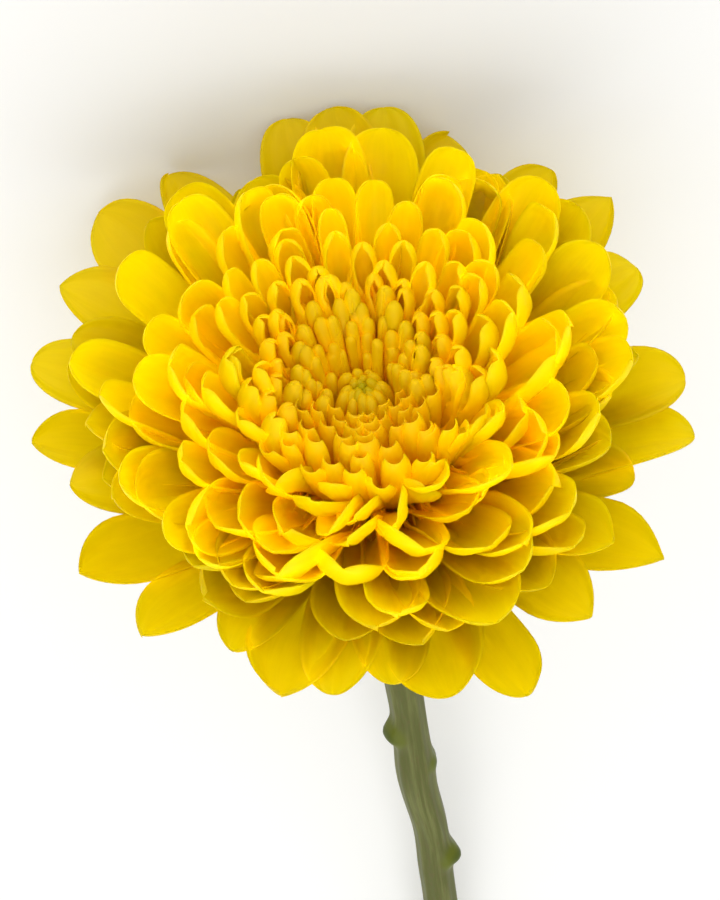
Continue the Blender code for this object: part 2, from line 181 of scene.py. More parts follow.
# The sheet of one floret, the same for all of them.
blade = {
    "handles": (0.38, 0.36),                # how far its line runs straight on at its root and its tip
    "tipRows": 0.42, "rounding": 1.35,      # the share of the rows that rounds the tip, and how they gather there
    "tube": 183,                            # degrees: the edges of a closed floret just overlap
    "tubeMm": 0.75, "tubeSpan": 0.18,       # half the width of the tube, and what a millimetre of span adds
    "overlap": 0.03, "beaked": 0.15,        # the larger this share of the hood, the sharper the tip's beak
    "rimFrom": 0.62, "rimRise": 0.12, "rimBelow": 80,      # the turned-up rim, on blades that curl less than this
    "waves": 9, "waveRise": 0.10, "waveLean": 0.6,         # ruffles of the edges, higher on one edge
    "foldsFromMm": 6, "folds": 3, "foldRise": (0.010, 0.014),      # folds along wider blades, shares of the span
    "teeth": 1.5, "toothSpan": 0.04, "hornFrom": 0.4, "tipReach": 0.35,    # of the lip, and their reach
    "swayLong": 0.05,                       # sideways at the tip, a share of the length
}


def floretLine(root, rootAim, tip, tipAim):
    # a cubic from root to tip, as (radius, height) at 41 places, and the length along it
    a, b = math.radians(rootAim), math.radians(tipAim)
    span = math.dist(root, tip)
    p0, p3 = np.array(root), np.array(tip)
    p1 = p0 + blade["handles"][0] * span * np.array([math.sin(a), math.cos(a)])
    p2 = p3 - blade["handles"][1] * span * np.array([math.sin(b), math.cos(b)])
    t = np.linspace(0, 1, 41)[:, None]
    line = (1 - t) ** 3 * p0 + 3 * t * (1 - t) ** 2 * p1 + 3 * t * t * (1 - t) * p2 + t ** 3 * p3
    length = np.concatenate([[0], np.cumsum(np.linalg.norm(np.diff(line, axis=0), axis=1))])
    return line, length


# Where the tips that make the outline show in the photograph: degrees round the eye, pixels from it, how pointed.
rimTips = ((1, 322, 0.2), (22, 296, 0.1), (36, 311, 1.0), (49, 284, 0.1), (71, 260, 0.5), (85, 274, 0.2),
           (96, 275, 0.2), (106, 274, 0.1), (134, 284, 0.2), (147, 312, 0.3), (161, 311, 0.8), (177, 330, 0.2),
           (190, 335, 0.7), (200, 308, 0.4), (215, 344, 0.7), (228, 335, 0.7), (244, 300, 0.3), (255, 327, 0.4),
           (266, 316, 0.1), (276, 306, 0.0), (287, 333, 0.1), (298, 358, 0.1), (314, 330, 0.9), (329, 352, 1.2),
           (340, 290, 0.2), (350, 338, 0.3))
# and where the outline turns in between them
rimGaps = ((60, 256), (120, 208))


def rimTip(degrees, pixels):
    # a tip seen there, put at the height of the rim, or where the floor holds it up, as (azimuth, reach, height)
    right, up, towards = [np.array(layTurn.transposed() @ axis) for axis in cameraAxes()]
    eyePoint = np.array([0, 0, view["eyeHeight"]])
    pixel = view["bloomMm"] / view["bloomPixels"]
    turn = math.radians(degrees)
    seen = eyePoint + pixels * pixel * (math.cos(turn) * right + math.sin(turn) * up)
    ray = seen - (eyePoint + view["distance"] * 1000 * towards)
    rim, far, near = florets["rimRank"], max(0.0, math.sin(turn)), max(0.0, -math.sin(turn))
    height = keyed("height", rim) + keyed("farLift", rim) * far - keyed("nearLift", rim) * near
    while True:
        place = seen + ray * (height - seen[2]) / ray[2]
        if layRows[2] @ place + lying["height"] > florets["tipClear"]:
            return math.atan2(place[1], place[0]), math.hypot(place[0], place[1]), height
        height += 0.5


def drawFloret(index, draw):
    # one floret's place and the draw that makes it differ from its neighbours
    rank = 1 - (index + 0.5) / florets["count"]
    outer = rising(rank, *florets["outer"])      # the outer florets differ more from one another
    wild = 0.0                                   # and so do the tousled ones, once it is known which they are

    def vary(name):
        heart, rim, tousled = spread[name]
        value = draw.gauss(0, heart + rim * outer)
        return value + draw.gauss(0, tousled) * wild if tousled else value

    azimuth = index * goldenAngle + vary("azimuth")
    side = math.sin(azimuth)                     # 1 on the far side, -1 on the near side
    far, near = max(0.0, side), max(0.0, -side)
    nearly = rising(near, *florets["nearly"])
    # the far side is younger: its florets are narrower and more closed than others as far out
    stage = min(1.0, max(0.0, rank - florets["younger"] * far * rising(rank, *florets["sameAge"])))
    horned = 1.0 if nearly * rising(rank, *florets["horned"]) > draw.gauss(0.5, 0.12) else 0.0
    wild = nearly * (rising(rank, *florets["wildFrom"]) * rising(rank, *florets["wildTo"]))
    inmost, more, low = florets["foot"]
    f = {
        "rank": rank, "azimuth": azimuth, "luck": draw.random(),
        "root": (inmost + more * math.sqrt(rank), low * rank ** 2),
        "reach": keyed("reach", rank) * (1 - keyed("nearPull", rank) * near) * (1 + vary("reach")),
        "height": keyed("height", rank) + keyed("farLift", rank) * far - keyed("nearLift", rank) * near
                  + vary("height"),
        "rootAim": keyed("rootAim", rank),
        "tipAim": keyed("tipAim", rank) + keyed("farAim", rank) * far - keyed("nearAim", rank) * near
                  + vary("tipAim"),
        "span": keyed("span", stage) * (1 + vary("span")), "curl": keyed("curl", stage) * (1 + vary("curl")),
        "hood": keyed("hood", stage) * (1 + vary("hood")),
        "tipLong": keyed("tipLong", stage) * (1 + vary("tipLong")),
        "horn": vary("horn"), "point": abs(vary("point")) * rising(rank, *florets["pointed"]),
        "rim": max(0.0, draw.gauss(0.1, 0.3)), "tooth": vary("tooth"), "ruffle": vary("ruffle"),
        "phase": vary("phase"), "sway": vary("sway"), "twist": vary("twist"),
        "lean": keyed("lean", rank), "tipTurn": florets["tipTurn"],
    }
    for name in ("openAt", "openLong", "reclose", "thick", "blunt"):
        f[name] = keyed(name, stage)
    if f["curl"] > 174:
        f["curl"] = blade["tube"]                # as good as closed, so it closes
    f["seamBack"] = f["curl"] > 180 and side > -0.3
    horns = {**gutter, "span": (gutter["span"] + gutter["wider"] * rank) * (1 + draw.gauss(0, 0.08)),
             "curl": gutter["curl"] + draw.gauss(0, 8), "horn": gutter["horn"] + draw.gauss(0, 0.03)}
    cups = {**cupped, "span": f["span"] * cupped["wider"], "curl": cupped["curl"] + draw.gauss(0, 10),
            "hood": cupped["hood"] + draw.gauss(0, 0.15), "point": cupped["point"] * f["luck"],
            "tipTurn": gutter["tipTurn"] if horned else florets["tipTurn"]}
    for share, other in ((horned, horns), (wild, cups)):
        for name, value in other.items():
            if name in f:
                f[name] += (value - f[name]) * share
    return f


def drawHead():
    # the rim and the heart draw from a seed each, so that either can be changed alone
    draws = random.Random(florets["heartSeed"]), random.Random(florets["rimSeed"])
    rimCount = int(florets["count"] * (1 - florets["rimFrom"]))
    rayCount = int(florets["count"] * (1 - florets["eyeShare"]))
    members = [drawFloret(i, draws[i < rimCount]) for i in range(rayCount)]
    tips = [rimTip(degrees, pixels) for degrees, pixels, _ in rimTips]
    turns = [turn % (2 * math.pi) for turn, _, _ in tips]
    outline = sorted((turn % (2 * math.pi), reach) for turn, reach, _ in tips + [rimTip(*gap) for gap in rimGaps])
    reaches = np.interp([f["azimuth"] % (2 * math.pi) for f in members], *zip(*outline), period=2 * math.pi)
    for f, most in zip(members, reaches):
        f["reach"] = min(f["reach"], most * florets["behindTips"])   # the others end inside the outline
    free = list(range(len(tips)))
    for f in members[:len(tips)]:
        # each of the outermost florets takes the free tip that is nearest to it
        nearest = min(free, key=lambda k: abs(math.remainder(turns[k] - f["azimuth"], 2 * math.pi)))
        free.remove(nearest)
        f["azimuth"], f["reach"], f["height"] = tips[nearest]
        f["point"] = rimTips[nearest][2]
        f["azimuth"] -= florets["swayTurn"] * f["sway"]
    return members


def floretSheet(f, rows, columns):
    # the middle surface of one floret, its normals towards the bloom's axis, and the millimetres along and across
    line, length = floretLine(f["root"], f["rootAim"], (f["reach"], f["height"]), f["tipAim"])
    total = length[-1]
    curl = math.radians(f["curl"])
    fullest = math.sin(min(curl, math.pi / 2))
    half = f["span"] / 2
    tipStart = 1 - min(0.6, f["tipLong"] * f["span"] / total)
    tipTurn = math.radians(f["tipTurn"])
    tipRows = max(4, int(rows * blade["tipRows"]))
    bladeRows = np.linspace(0, tipStart, rows - tipRows + 1)
    rounding = 1 - np.linspace(1, 0, tipRows + 1)[1:] ** blade["rounding"]
    turn = np.concatenate([np.zeros(len(bladeRows)), rounding * tipTurn])
    reached = (np.sin(turn[len(bladeRows):]) / math.sin(tipTurn)) ** (1 - f["blunt"])
    along = np.concatenate([bladeRows, tipStart + (1 - tipStart) * reached])
    v = np.linspace(-1, 1, columns + 1)
    here = along * total
    centre = [np.interp(here, length, line[:, i]) for i in (0, 1)]
    slope = [np.interp(here, length, np.gradient(line[:, i], length)) for i in (0, 1)]
    size = np.hypot(*slope)
    slopeR, slopeZ = slope[0] / size, slope[1] / size
    # a narrow tube that opens into the blade, and on the inner florets closes again over the tip
    fromTip = (1 - along) * total
    opened = smooth((along - f["openAt"]) / f["openLong"])
    opened = opened * (1 - f["reclose"] * (1 - np.sqrt(np.clip((fromTip / half - 0.3) / 1.1, 0, 1))))
    tube = math.radians(blade["tube"])
    angle = tube + (curl - tube) * opened
    tubeHalf = min(half, blade["tubeMm"] + blade["tubeSpan"] * f["span"])
    width = tubeHalf + (half - tubeHalf) * smooth(along / max(tipStart, 0.3))
    radius = (width / np.sin(np.minimum(angle, math.pi / 2)))[:, None]
    beta = angle[:, None] * v[None, :]
    rolled = radius * (1 + blade["overlap"] * v[None, :] * smooth((angle[:, None] - 2.6) / 0.5))
    shrink = np.cos(turn)[:, None] ** (1 + f["point"] - f["blunt"])
    lateral = rolled * np.sin(beta) * shrink
    rise = (radius - rolled * np.cos(beta)) * shrink
    if f["seamBack"]:
        rise = 2 * radius * shrink - rise
    hooded = blade["beaked"] * (1 - np.cos(turn)) + (1 - blade["beaked"]) * np.sin(turn) ** 2
    rise = rise + (f["hood"] * half / fullest * (1 - math.cos(curl)) * hooded)[:, None]
    edge = np.abs(v)[None, :]
    wide = opened[:, None]
    if f["curl"] < blade["rimBelow"]:
        outmost = smooth((edge - blade["rimFrom"]) / (1 - blade["rimFrom"]))
        rise = rise + f["rim"] * outmost * half * blade["rimRise"] * wide * shrink
    leaning = v[None, :] + blade["waveLean"] * math.sin(f["phase"])
    wave = np.sin(along * blade["waves"] + f["phase"])[:, None] * v[None, :] ** 2 * leaning
    rise = rise + f["ruffle"] * half * blade["waveRise"] * wave * wide
    if f["span"] > blade["foldsFromMm"]:
        # shallow folds along it, which wander a little
        wander = 0.9 * math.sin(f["phase"]) + 0.5 * np.sin(along * 5 + f["phase"])[:, None]
        folds = np.cos(v * math.pi * blade["folds"] + wander)
        least, more = blade["foldRise"]
        rise = rise - (least + more * f["luck"]) * f["span"] * folds * wide * shrink
    # teeth and horns are only on the lip, and fade where the tip closes to a point
    atTip = np.exp(-((turn[:, None] - tipTurn) / blade["tipReach"]) ** 2) * np.clip(3 * shrink, 0, 1)
    teeth = np.cos(v * math.pi * blade["teeth"] + f["phase"])[None, :]
    shift = f["tooth"] * teeth * atTip * f["span"] * blade["toothSpan"]
    shift = shift + f["horn"] * (edge ** 2.2 - blade["hornFrom"]) * atTip * f["span"]
    twist = f["twist"] * smooth((along - 0.3) / 0.7)[:, None]
    sway = (f["sway"] * total * blade["swayLong"] * smooth(along))[:, None]
    side = lateral * np.cos(twist) - rise * np.sin(twist) + sway
    inward = lateral * np.sin(twist) + rise * np.cos(twist)
    radial = centre[0][:, None] - inward * slopeZ[:, None] + shift * slopeR[:, None]
    height = centre[1][:, None] + inward * slopeR[:, None] + shift * slopeZ[:, None]
    c, s = math.cos(f["azimuth"]), math.sin(f["azimuth"])
    # the heart of the head leans to the far side: roots are set back under the tips
    back = f["lean"] * (1 - along[:, None])
    points = np.stack([radial * c - side * s, radial * s + side * c - back, height + 0 * side], axis=-1)
    normals = np.cross(np.gradient(points, axis=0), np.gradient(points, axis=1))
    normals /= np.maximum(np.linalg.norm(normals, axis=-1, keepdims=True), 1e-9)
    across = width[:, None] * v[None, :]
    return points, normals, here[:, None] + 0 * across, across, opened


def pressedClear(f, rows, columns):
    # what touches the floor is drawn in until it only presses lightly, then flattened there
    up = layRows[2]
    sheet = floretSheet(f, rows, columns)
    for _ in range(8):
        low = (sheet[0] @ up).min() + lying["height"] - f["thick"] / 2
        if low >= -lying["press"]:
            break
        sunk = -low - lying["press"] + 0.03
        f["reach"] += sunk * up[1] * math.sin(f["azimuth"])
        f["height"] += sunk * up[2]
        sheet = floretSheet(f, rows, columns)
    return sheet


def floretShell(points, normals, thick, opened):
    # a closed two-sided skin round the sheet, thinner at its open edges
    rows, columns = points.shape[:2]
    v = np.linspace(-1, 1, columns)[None, :, None]
    u = np.linspace(0, 1, rows)[:, None, None]
    edges = np.maximum(np.abs(v) ** 6 * opened[:, None, None], u ** 10)
    offset = normals * thick / 2 * (1 - florets["thinnest"] * edges)
    vertices = np.concatenate([(points + offset).reshape(-1, 3), (points - offset).reshape(-1, 3)])
    top = np.arange(rows * columns).reshape(rows, columns)
    low = top + rows * columns
    faces = [np.stack([top[:-1, :-1], top[1:, :-1], top[1:, 1:], top[:-1, 1:]], -1).reshape(-1, 4),
             np.stack([low[:-1, :-1], low[:-1, 1:], low[1:, 1:], low[1:, :-1]], -1).reshape(-1, 4)]
    for a, b in ((top[:, 0], low[:, 0]), (low[:, -1], top[:, -1]), (low[0], top[0]), (top[-1], low[-1])):
        faces.append(np.stack([a[:-1], b[:-1], b[1:], a[1:]], -1))
    return vertices, np.concatenate(faces)


def meshObject(name, vertices, faces, attributes, material):
    # vertices upright in millimetres; attributes are one number per point
    mesh = bpy.data.meshes.new(name)
    placed = toFloor(vertices)
    # what presses on the floor is flattened towards it, and keeps a little of its thickness
    soft, keeps = lying["soft"] * 0.001, lying["keeps"]
    low = placed[:, 2] < soft
    placed[low, 2] = keeps * soft + (1 - keeps) * soft * np.exp((placed[low, 2] - soft) / ((1 - keeps) * soft))
    mesh.from_pydata(placed.tolist(), [], [list(map(int, face)) for face in faces])
    mesh.update()
    for key, values in attributes.items():
        mesh.attributes.new(key, "FLOAT", "POINT").data.foreach_set("value", np.asarray(values, np.float32))
    mesh.shade_smooth()
    mesh.materials.append(material)
    piece = bpy.data.objects.new(name, mesh)
    bpy.context.scene.collection.objects.link(piece)
    return piece


def makeFlorets(name, members, rows, columns, material):
    vertices, faces, counted = [], [], 0
    attributes = {"rank": [], "luck": [], "alongMm": [], "acrossMm": [], "along": [], "across": []}
    for f in members:
        points, normals, along, across, opened = pressedClear(f, rows, columns)
        skin, quads = floretShell(points, normals, f["thick"], opened)
        vertices.append(skin)
        faces.append(quads + counted)
        counted += len(skin)
        shares = {"rank": f["rank"] + 0 * along, "luck": f["luck"] + 0 * along, "alongMm": along,
                  "acrossMm": across, "along": along / along.max(),
                  "across": across / np.abs(across).max(axis=1, keepdims=True)}
        for key, values in shares.items():
            attributes[key].append(np.tile((values + 0 * across).reshape(-1), 2))
    joined = {key: np.concatenate(values) for key, values in attributes.items()}
    print(f"{name}: {len(members)} florets, {2 * sum(map(len, faces))} triangles")
    return meshObject(name, np.concatenate(vertices), np.concatenate(faces), joined, material)


def layered(tree, base, layers):
    # a base colour with others laid over it: each is a socket, its values where the colour starts and where it is
    # full, how much of it there is then, and the colour
    under = addNode(tree, "ShaderNodeRGB")
    under.outputs[0].default_value = linear(base)
    for value, start, full, most, colour in layers:
        share = addNode(tree, "ShaderNodeMapRange", {"interpolation_type": "SMOOTHSTEP", "From Min": start,
                        "From Max": full, "To Max": most}, {"Value": value})
        under = addNode(tree, "ShaderNodeMix", {"data_type": "RGBA", 7: linear(colour)},
                        {0: share.outputs[0], 6: under.outputs[2 if under.bl_idname == "ShaderNodeMix" else 0]})
    return under.outputs[2]


def readings(tree, names):
    return {name: addNode(tree, "ShaderNodeAttribute", {"attribute_name": name}).outputs["Fac"] for name in names}


petalTissue = {
    "heartYellow": "#F2C600", "midYellow": "#F9E300", "rimYellow": "#CFB600", "paintedBaseShade": "#FCD800",
    # a painted glow for the thin margins, as of light passing through them
    "paintedEdgeGlow": "#F2CE00",
    "roughness": 0.42, "ior": 1.36, "specular": 0.2,
    "subsurface": 0.85, "radius": (1.0, 0.8, 0.05), "heartDepthMm": 0.8, "rimDepthMm": 4.0,
    "veinMm": 0.55, "veinLongMm": 9.0, "veinDepthMm": 0.05, "veinDark": 0.955, "hues": (0.4955, 0.5035),
}


def makePetalTissue():
    # ray-floret tissue: thin living cells full of yellow pigment under a satin wax; light passes through it, so
    #     # folds glow golden instead of going dark, and fine veins run its length; a deeper gold is painted
    #     towards each floret's base as shade, and a little painted light on its thin margins
    material, tree = newMaterial("rayFloretTissue")
    s = petalTissue
    read = readings(tree, ("rank", "luck", "along", "across", "alongMm", "acrossMm"))
    # the margins get a little painted light, as if lit through their thin edges
    edge = addNode(tree, "ShaderNodeMath", {"operation": "ABSOLUTE"}, {0: read["across"]}).outputs[0]
    colour = layered(tree, s["heartYellow"], (
        (read["rank"], 0.25, 0.55, 1.0, s["midYellow"]), (read["rank"], 0.70, 0.95, 1.0, s["rimYellow"]),
        # painted shade: a deeper gold towards each floret's base, where it lies deep in the bloom
        (read["along"], 0.45, 0.0, 1.0, s["paintedBaseShade"]), (edge, 0.84, 1.0, 0.3, s["paintedEdgeGlow"])))
    # the veins' noise is a vein wide and long, and starts elsewhere on each floret
    sides = (("X", "DIVIDE", s["veinMm"], "acrossMm"), ("Y", "DIVIDE", s["veinLongMm"], "alongMm"),
             ("Z", "MULTIPLY", 37.0, "luck"))
    streaks = addNode(tree, "ShaderNodeCombineXYZ", None, {
        axis: addNode(tree, "ShaderNodeMath", {"operation": operation, 1: by}, {0: read[name]}).outputs[0]
        for axis, operation, by, name in sides})
    veins = addNode(tree, "ShaderNodeTexNoise", {"Scale": 1.0, "Detail": 2.0, "Roughness": 0.5},
                    {"Vector": streaks.outputs[0]}).outputs["Fac"]
    veinShade = addNode(tree, "ShaderNodeMapRange", {"From Min": 0.25, "From Max": 0.75, "To Min": s["veinDark"]},
                        {"Value": veins}).outputs[0]
    hue = addNode(tree, "ShaderNodeMapRange", {"To Min": s["hues"][0], "To Max": s["hues"][1]},
                  {"Value": read["luck"]}).outputs[0]
    toned = addNode(tree, "ShaderNodeHueSaturation", None,
                    {"Color": colour, "Value": veinShade, "Hue": hue}).outputs[0]
    bump = addNode(tree, "ShaderNodeBump", {"Strength": 0.5, "Distance": s["veinDepthMm"] * 0.001},
                   {"Height": veins}).outputs[0]
    depth = addNode(tree, "ShaderNodeMapRange", {
        "From Min": 0.1, "From Max": 0.6, "To Min": s["heartDepthMm"] * 0.001, "To Max": s["rimDepthMm"] * 0.001},
        {"Value": read["rank"]}).outputs[0]
    skin = addNode(tree, "ShaderNodeBsdfPrincipled", {
        "Roughness": s["roughness"], "IOR": s["ior"], "Specular IOR Level": s["specular"],
        "Subsurface Weight": s["subsurface"], "Subsurface Radius": s["radius"], "subsurface_method": "BURLEY"},
        {"Base Color": toned, "Normal": bump, "Subsurface Scale": depth})
    addNode(tree, "ShaderNodeOutputMaterial", None, {"Surface": skin.outputs[0]})
    return material


eye = {
    "count": 26, "tips": 2.9, "belly": 5.2, "top": 23.0, "foot": 12.8, "lean": 4.0, "seed": 5,
    "span": 1.25, "wider": 0.6, "lower": 1.6, "bowed": 72,       # the outermost against the innermost; degrees
    # the last colour is painted shade for the bases of the eye's florets
    "centreGreen": "#BAAC00", "outerYellow": "#F2C600", "paintedEyeBaseShade": "#D09A00",
}


def makeEyeTissue():
    # young closed florets: the same tissue before its pigment is full, so it is olive green at the centre
    material, tree = newMaterial("youngFloretTissue")
    s = petalTissue
    read = readings(tree, ("rank", "along"))
    colour = layered(tree, eye["centreGreen"], (
        # painted shade: a darker gold towards the bases of the eye's florets, deep among them
        (read["rank"], 0.15, 0.95, 1.0, eye["outerYellow"]), (read["along"], 0.75, 0.15, 1.0, eye["paintedEyeBaseShade"])))
    skin = addNode(tree, "ShaderNodeBsdfPrincipled", {
        "Roughness": s["roughness"], "IOR": s["ior"], "Specular IOR Level": s["specular"],
        "Subsurface Weight": 0.2, "Subsurface Radius": s["radius"], "Subsurface Scale": 0.0006,
        "subsurface_method": "BURLEY"}, {"Base Color": colour})
    addNode(tree, "ShaderNodeOutputMaterial", None, {"Surface": skin.outputs[0]})
    return material


def eyeFlorets():
    draw = random.Random(eye["seed"])
    members = []
    for i in range(eye["count"]):
        share = math.sqrt((i + 0.5) / eye["count"])
        azimuth = i * goldenAngle + draw.gauss(0, 0.06)
        f = dict.fromkeys(("horn", "point", "blunt", "rim", "tooth", "ruffle", "phase", "twist"), 0.0)
        f.update({
            "rank": share, "azimuth": azimuth, "luck": draw.random(),
            "root": (eye["belly"] * share, eye["foot"]), "rootAim": 14 * share,
            "reach": 0.2 + eye["tips"] * share,
            "height": eye["top"] - eye["lower"] * (1 - share) + draw.gauss(0, 0.3),
            "tipAim": -eye["bowed"] * share + 10 * math.sin(azimuth), "lean": eye["lean"],
            "span": eye["span"] + eye["wider"] * share, "curl": blade["tube"], "openAt": 2.0, "openLong": 0.1,
            "reclose": 1.0, "tipLong": 0.95, "tipTurn": 88, "hood": 0.5, "sway": draw.gauss(0, 0.4),
            "thick": 0.34, "seamBack": math.sin(azimuth) > 0})
        members.append(f)
    return members


def makeBloom():
    ray = drawHead()
    tissue = makePetalTissue()
    for name, low, high, rows, columns in florets["zones"]:
        piece = makeFlorets(name, [f for f in ray if low <= f["rank"] < high], rows, columns, tissue)
        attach(piece, "root")
        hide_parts("bloom")
    piece = makeFlorets("eyeFlorets", eyeFlorets(), 20, 12, makeEyeTissue())
    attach(piece, "root")
    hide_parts("eye")


# The cup under the bloom and its bracts.
cup = {
    "sides": 48, "seed": 3, "grid": (12, 8),
    # radius and height, from the middle of its underside round to the top
    "profile": ((0.0, -15.2), (3.4, -15.2), (4.4, -14.7), (5.8, -13.6), (8.3, -11.7), (9.8, -10.4), (10.2, -9.4),
                (9.8, -8.9), (0.0, -8.9)),
    # its rows of bracts, lowest first: how many, height, reach, length
    "rows": ((10, -13.3, 8.6, 4.6), (12, -11.6, 11.2, 5.4), (11, -9.9, 12.8, 6.0)),
    "fullness": 0.86, "thick": 0.45,        # the share of a row's round that its bracts fill, and millimetres
    "foot": 2.0, "hollow": 0.55, "flick": 0.35,  # a bract's foot is this much lower, its edges and tip higher
    "green": "#66783A", "midrib": "#4E6128", "papery": "#A9A071",
    "mottles": 900.0,       # across the ring of bracts: cells of 0.03 mm, which only roughen the green a little
}


def makeBractSkin():
    # bracts: small leathery leaves, matt green with a darker midrib and thin papery edges
    material, tree = newMaterial("bractSkin")
    read = readings(tree, ("across",))
    edge = addNode(tree, "ShaderNodeMath", {"operation": "ABSOLUTE"}, {0: read["across"]}).outputs[0]
    colour = layered(tree, cup["midrib"], (
        (edge, 0.0, 0.25, 1.0, cup["green"]), (edge, 0.68, 0.95, 1.0, cup["papery"])))
    mottle = addNode(tree, "ShaderNodeTexNoise", {"Scale": cup["mottles"], "Detail": 3.0}).outputs["Fac"]
    shade = addNode(tree, "ShaderNodeMapRange", {"From Min": 0.3, "From Max": 0.7, "To Min": 0.85, "To Max": 1.1},
                    {"Value": mottle}).outputs[0]
    toned = addNode(tree, "ShaderNodeHueSaturation", None, {"Color": colour, "Value": shade}).outputs[0]
    shader = addNode(tree, "ShaderNodeBsdfPrincipled", {
        "Roughness": 0.58, "Subsurface Weight": 0.12, "Subsurface Radius": (0.6, 1.0, 0.2),
        "Subsurface Scale": 0.0008}, {"Base Color": toned})
    addNode(tree, "ShaderNodeOutputMaterial", None, {"Surface": shader.outputs[0]})
    return material


def turnedSkin(profile, sides):
    vertices, faces, rings = [], [], []
    for radius, height in profile:
        count = 1 if radius == 0 else sides
        rings.append(range(len(vertices), len(vertices) + count))
        for k in range(count):
            angle = 2 * math.pi * k / count
            vertices.append((radius * math.cos(angle), radius * math.sin(angle), height))
    for low, high in zip(rings, rings[1:]):
        for k in range(sides):
            ends = (low[k % len(low)], high[k % len(high)], high[(k + 1) % len(high)], low[(k + 1) % len(low)])
            faces.append(list(dict.fromkeys(ends)))
    return np.array(vertices, float), faces


def makeInvolucre():
    skin = makeBractSkin()
    vertices, faces = turnedSkin(cup["profile"], cup["sides"])
    base = meshObject("bractCup", vertices, faces, {"across": np.full(len(vertices), 0.3)}, skin)
    draw = random.Random(cup["seed"])
    rows, columns = cup["grid"]
    u = np.linspace(0, 1, rows + 1)[:, None]
    v = np.linspace(-1, 1, columns + 1)[None, :]
    # a bract is widest at its middle and rounds to its tip
    tip = np.maximum(0, (u - 0.45) / 0.56)
    outline = (0.75 + 0.25 * np.sin(u * math.pi)) * np.sqrt(np.clip(1 - tip ** 2, 0, 1))
    lifted = cup["hollow"] * v ** 2 * u + cup["flick"] * u ** 3 - cup["foot"] * (1 - u) ** 1.2
    allVertices, allFaces, acrossShares, counted = [], [], [], 0
    for row, (count, height, reach, long) in enumerate(cup["rows"]):
        for k in range(count):
            angle = 2 * math.pi * (k + 0.5 * row) / count + draw.gauss(0, 0.03)
            half = cup["fullness"] * math.pi * (reach - long / 2) / count
            lateral = half * outline * v
            radial = reach - long * (1 - u) - 0.10 * v ** 2
            z = height + lifted + draw.gauss(0, 0.05)
            c, s = math.cos(angle), math.sin(angle)
            points = np.stack([radial * c - lateral * s, radial * s + lateral * c, z], axis=-1)
            normals = np.cross(np.gradient(points, axis=0), np.gradient(points, axis=1))
            normals /= np.maximum(np.linalg.norm(normals, axis=-1, keepdims=True), 1e-9)
            shell, quads = floretShell(points, normals, cup["thick"], np.ones(rows + 1))
            allVertices.append(shell)
            allFaces.append(quads + counted)
            acrossShares.append(np.tile((v + 0 * u).reshape(-1), 2))
            counted += len(shell)
    bracts = meshObject("bracts", np.concatenate(allVertices), np.concatenate(allFaces),
                        {"across": np.concatenate(acrossShares)}, skin)
    for piece in (base, bracts):
        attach(piece, "root")
        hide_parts("involucre")


# The stem, its lengths counted from its top in the cup.
stem = {
    "topRadius": 3.8, "taperMm": 22.0, "radius": 3.48, "top": -15.5, "sides": 60, "rings": 260,
    "neckBend": 10.0, "neckMm": 9.0, "endSlant": 0.7, "ribs": 9, "ribMm": 0.10, "press": 0.45,
    # its middle line to the side: waves as millimetres, length and start, humps as millimetres, place and length,
    # where it starts, and how far and how soon it drifts back
    "waves": ((0.7, 26.0, 0.0), (0.5, 11.0, 1.0)), "humps": ((2.9, 122.0, 28.0), (1.0, 106.0, 11.0)),
    "start": 0.42, "drift": 0.2, "driftMm": 20.0,
    # its radius: waves as a share of it, and in millimetres the thicker stretch between its first two scars
    "uneven": ((0.012, 7.0, 0.0), (0.01, 3.1, 1.0)), "thicker": ((0.45, 87.0, 8.0),),
    # where leaves were stripped: place along the stem, side in degrees, rise and length
    "scars": ((74.0, -70.0, 3.5, 7.0), (85.0, 92.0, 0.9, 4.6), (114.8, 68.0, 3.3, 6.4), (140.0, -70.0, 2.0, 5.4)),
    "scarRise": 0.62, "scarLong": 0.42,     # the shares of that rise and length in its soft swelling
    "skin": "#565B1E", "bloomy": "#74783E", "brownish": "#65562C",
    "scarGreen": "#5C6400", "scarCore": "#3E4E00", "pith": "#C9CDA0",
    "streaksRound": 20.0, "streaksPerMm": 0.045,        # so a streak is 1.1 mm wide and 22 mm long
    "flecks": 60.0,         # over its whole length and width, so a fleck is about 3 mm long and 0.2 mm wide
}


def waved(name, length):
    return sum(most * math.sin(length / long + start) for most, long, start in stem[name])


def humped(name, length):
    return sum(most * math.exp(-((length - place) / long) ** 2) for most, place, long in stem[name])


def stemCentre(length):
    bend, neck = math.radians(stem["neckBend"]), stem["neckMm"]
    along = length - neck * (1 - math.exp(-length / neck))
    side = waved("waves", length) - stem["start"] + humped("humps", length)
    side -= stem["drift"] * (1 - math.exp(-length / stem["driftMm"]))
    back = -math.sin(bend) * along + 0.5 * math.sin(length / 31.0)
    return Vector((side, back, stem["top"] - length * math.cos(bend)))


def heightAboveFloor(point):
    return lying["height"] + Vector(layRows[2]).dot(point)


